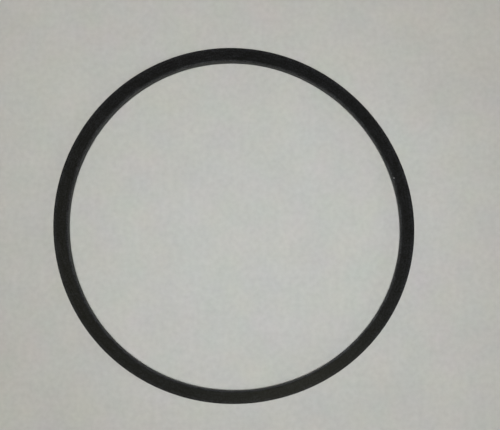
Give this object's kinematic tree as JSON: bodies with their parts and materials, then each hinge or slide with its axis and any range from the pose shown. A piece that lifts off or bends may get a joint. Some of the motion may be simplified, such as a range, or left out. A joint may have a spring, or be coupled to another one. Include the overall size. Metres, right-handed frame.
{
  "type": "drive belt",
  "caption": "Endless black rubber drive belt of square section, lying relaxed on its side; it stretches over pulleys to carry a light drive.",
  "frame": {"origin": "centre of the loop, on the plane of the lower cut side that the belt lies on", "axes": "+Z is the axis the loop turns about, up through the belt as it lies; +X and +Y are across the loop, and the loop is the same all round"},
  "size_m": [0.0834, 0.0834, 0.0032],
  "materials": {
    "belt_rubber": "matte"
  },
  "bodies": {
    "root": {"drive_belt": "belt_rubber"}
  },
  "joints": []
}
